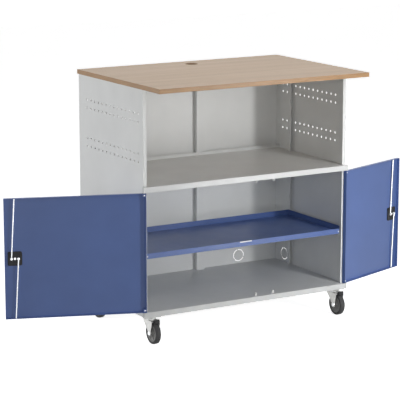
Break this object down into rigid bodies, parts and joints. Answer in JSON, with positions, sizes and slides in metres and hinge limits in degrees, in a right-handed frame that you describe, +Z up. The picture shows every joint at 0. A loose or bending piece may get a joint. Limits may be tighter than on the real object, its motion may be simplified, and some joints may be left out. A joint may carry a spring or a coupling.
{
  "type": "mobile workshop cupboard bench",
  "caption": "Mobile workshop bench: a sheet steel carcass on castors with an overhanging wooden worktop, an open upper bay and a lower bay closed by hinged doors with rod locks.",
  "frame": {"origin": "on the floor, at the centre of the box round the whole part with both doors swung open", "axes": "+X to the right along the front, +Y from the front to the back, +Z up"},
  "size_m": [2.026, 0.763, 1.14],
  "materials": {
    "body_grey": "satin",
    "door_blue": "satin",
    "beech": "satin",
    "edging": "satin",
    "zinc": "satin",
    "lock_black": "matte",
    "nylon": "matte",
    "hub_grey": "matte",
    "tyre": "matte"
  },
  "bodies": {
    "cabinet": {"side_left": "body_grey", "side_right": "body_grey", "rail_base": "body_grey", "rail_middle": "body_grey", "deck_base": "body_grey", "deck_middle": "body_grey", "back_left": "body_grey", "back_right": "body_grey", "stile_lower": "body_grey", "stile_upper": "body_grey", "upright_lower_left": "body_grey", "upright_lower_right": "body_grey", "upright_upper_left": "body_grey", "upright_upper_right": "body_grey", "base_channels": "body_grey", "top_rail_front": "body_grey", "top_rail_rear": "body_grey", "knockout_discs": "zinc", "rod_keepers": "nylon", "hinge_bushes": "nylon", "worktop_board": "beech", "worktop_edging": "edging", "shelf_tray": "door_blue", "shelf_clips": "body_grey", "castor_plates": "zinc"},
    "left_door": {"door_left": "door_blue", "lock_strip_left": "door_blue", "hinge_pins_left": "door_blue", "lock_case_left": "lock_black"},
    "left_lock": {"lock_cam_left": "lock_black", "handle_left": "lock_black"},
    "left_rod_upper": {"rod_upper_left": "zinc"},
    "left_rod_lower": {"rod_lower_left": "zinc"},
    "right_door": {"door_right": "door_blue", "lock_strip_right": "door_blue", "hinge_pins_right": "door_blue", "lock_case_right": "lock_black"},
    "right_lock": {"lock_cam_right": "lock_black", "handle_right": "lock_black"},
    "right_rod_upper": {"rod_upper_right": "zinc"},
    "right_rod_lower": {"rod_lower_right": "zinc"},
    "castor_front_left": {"fork_front_left": "zinc", "axle_front_left": "zinc"},
    "wheel_front_left": {"hub_front_left": "hub_grey", "tyre_front_left": "tyre"},
    "brake_front_left": {"pedal_front_left": "lock_black"},
    "castor_front_right": {"fork_front_right": "zinc", "axle_front_right": "zinc"},
    "wheel_front_right": {"hub_front_right": "hub_grey", "tyre_front_right": "tyre"},
    "brake_front_right": {"pedal_front_right": "lock_black"},
    "castor_rear_left": {"fork_rear_left": "zinc", "axle_rear_left": "zinc"},
    "wheel_rear_left": {"hub_rear_left": "hub_grey", "tyre_rear_left": "tyre"},
    "castor_rear_right": {"fork_rear_right": "zinc", "axle_rear_right": "zinc"},
    "wheel_rear_right": {"hub_rear_right": "hub_grey", "tyre_rear_right": "tyre"}
  },
  "joints": [
    {"name": "left_door_hinge", "type": "hinge", "parent": "cabinet", "child": "left_door", "pos_m": [-0.43878, -0.2285, 0.409], "axis": [0, 0, 1], "range_deg": [0, 200]},
    {"name": "left_lock_turn", "type": "hinge", "parent": "left_door", "child": "left_lock", "pos_m": [-0.96878, -0.03857, 0.409], "axis": [0.342, 0.9397, 0], "range_deg": [0, 90]},
    {"name": "left_rod_upper_pin", "type": "hinge", "parent": "left_lock", "child": "left_rod_upper", "pos_m": [-0.98288, -0.03344, 0.409], "axis": [0.342, 0.9397, 0], "range_deg": [-93.48, 0.2]},
    {"name": "left_rod_lower_pin", "type": "hinge", "parent": "left_lock", "child": "left_rod_lower", "pos_m": [-0.95469, -0.0437, 0.409], "axis": [0.342, 0.9397, 0], "range_deg": [-93.48, 0.2]},
    {"name": "right_door_hinge", "type": "hinge", "parent": "cabinet", "child": "right_door", "pos_m": [0.60322, -0.2285, 0.409], "axis": [0, 0, -1], "range_deg": [0, 200]},
    {"name": "right_lock_turn", "type": "hinge", "parent": "right_door", "child": "right_lock", "pos_m": [0.96878, -0.09843, 0.409], "axis": [-0.342, 0.9397, 0], "range_deg": [0, 90]},
    {"name": "right_rod_upper_pin", "type": "hinge", "parent": "right_lock", "child": "right_rod_upper", "pos_m": [0.95469, -0.10356, 0.409], "axis": [-0.342, 0.9397, 0], "range_deg": [-93.48, 0.2]},
    {"name": "right_rod_lower_pin", "type": "hinge", "parent": "right_lock", "child": "right_rod_lower", "pos_m": [0.98288, -0.0933, 0.409], "axis": [-0.342, 0.9397, 0], "range_deg": [-93.48, 0.2]},
    {"name": "swivel_front_left", "type": "hinge", "parent": "cabinet", "child": "castor_front_left", "pos_m": [-0.40278, -0.2005, 0.11], "axis": [0, 0, 1], "continuous": true},
    {"name": "roll_front_left", "type": "hinge", "parent": "castor_front_left", "child": "wheel_front_left", "pos_m": [-0.40278, -0.2285, 0.05], "axis": [1, 0, 0], "continuous": true},
    {"name": "brake_front_left_press", "type": "hinge", "parent": "castor_front_left", "child": "brake_front_left", "pos_m": [-0.40278, -0.2445, 0.1015], "axis": [1, 0, 0], "range_deg": [0, 12]},
    {"name": "swivel_front_right", "type": "hinge", "parent": "cabinet", "child": "castor_front_right", "pos_m": [0.56722, -0.2005, 0.11], "axis": [0, 0, 1], "continuous": true},
    {"name": "roll_front_right", "type": "hinge", "parent": "castor_front_right", "child": "wheel_front_right", "pos_m": [0.56722, -0.2285, 0.05], "axis": [1, 0, 0], "continuous": true},
    {"name": "brake_front_right_press", "type": "hinge", "parent": "castor_front_right", "child": "brake_front_right", "pos_m": [0.56722, -0.2445, 0.1015], "axis": [1, 0, 0], "range_deg": [0, 12]},
    {"name": "swivel_rear_left", "type": "hinge", "parent": "cabinet", "child": "castor_rear_left", "pos_m": [-0.40278, 0.3115, 0.11], "axis": [0, 0, 1], "continuous": true},
    {"name": "roll_rear_left", "type": "hinge", "parent": "castor_rear_left", "child": "wheel_rear_left", "pos_m": [-0.40278, 0.2835, 0.05], "axis": [1, 0, 0], "continuous": true},
    {"name": "swivel_rear_right", "type": "hinge", "parent": "cabinet", "child": "castor_rear_right", "pos_m": [0.56722, 0.3115, 0.11], "axis": [0, 0, 1], "continuous": true},
    {"name": "roll_rear_right", "type": "hinge", "parent": "castor_rear_right", "child": "wheel_rear_right", "pos_m": [0.56722, 0.2835, 0.05], "axis": [1, 0, 0], "continuous": true}
  ],
  "couplings": [
    {"joint": "left_rod_upper_pin", "follows": "left_lock_turn", "ratio": -1.0364},
    {"joint": "left_rod_lower_pin", "follows": "left_lock_turn", "ratio": -1.0364},
    {"joint": "right_rod_upper_pin", "follows": "right_lock_turn", "ratio": -1.0364},
    {"joint": "right_rod_lower_pin", "follows": "right_lock_turn", "ratio": -1.0364}
  ]
}
